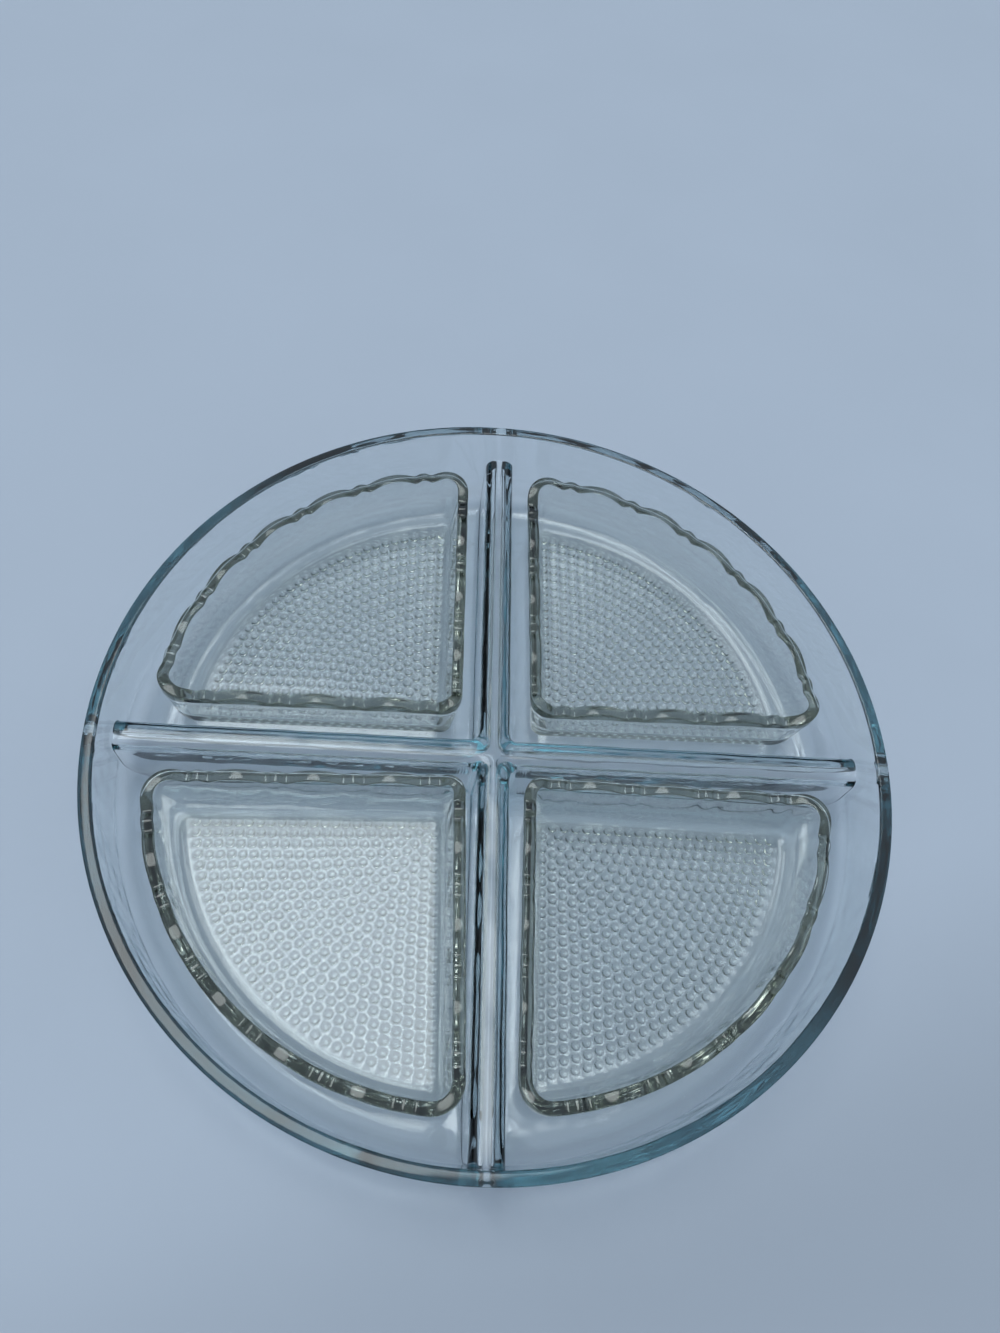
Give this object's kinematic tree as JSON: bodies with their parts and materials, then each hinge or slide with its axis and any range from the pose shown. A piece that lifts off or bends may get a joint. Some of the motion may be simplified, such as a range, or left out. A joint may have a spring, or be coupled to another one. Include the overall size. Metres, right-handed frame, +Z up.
{
  "type": "divided serving dish",
  "caption": "Round clear glass relish tray divided by a cross of rounded ridges, with a loose quarter-round scalloped dish in each compartment.",
  "frame": {"origin": "middle of the plane that the tray's underside stands on", "axes": "+Z up out of the tray; +X and +Y along its two ridges, +Y away from the viewer of the picture"},
  "size_m": [0.305, 0.305, 0.047],
  "materials": {
    "tray_glass": "clear pressed glass with a faint blue-green tint",
    "dish_glass": "clear pressed glass with a faint olive-grey tint"
  },
  "bodies": {
    "tray": {"tray": "tray_glass"},
    "dish_back_right": {"dish_back_right": "dish_glass"},
    "dish_back_left": {"dish_back_left": "dish_glass"},
    "dish_front_left": {"dish_front_left": "dish_glass"},
    "dish_front_right": {"dish_front_right": "dish_glass"}
  },
  "joints": [
    {"name": "lift_back_right", "type": "slide", "parent": "tray", "child": "dish_back_right", "axis": [0, 0, 1], "range_m": [0, 0.08]},
    {"name": "lift_back_left", "type": "slide", "parent": "tray", "child": "dish_back_left", "axis": [0, 0, 1], "range_m": [0, 0.08]},
    {"name": "lift_front_left", "type": "slide", "parent": "tray", "child": "dish_front_left", "axis": [0, 0, 1], "range_m": [0, 0.08]},
    {"name": "lift_front_right", "type": "slide", "parent": "tray", "child": "dish_front_right", "axis": [0, 0, 1], "range_m": [0, 0.08]}
  ]
}
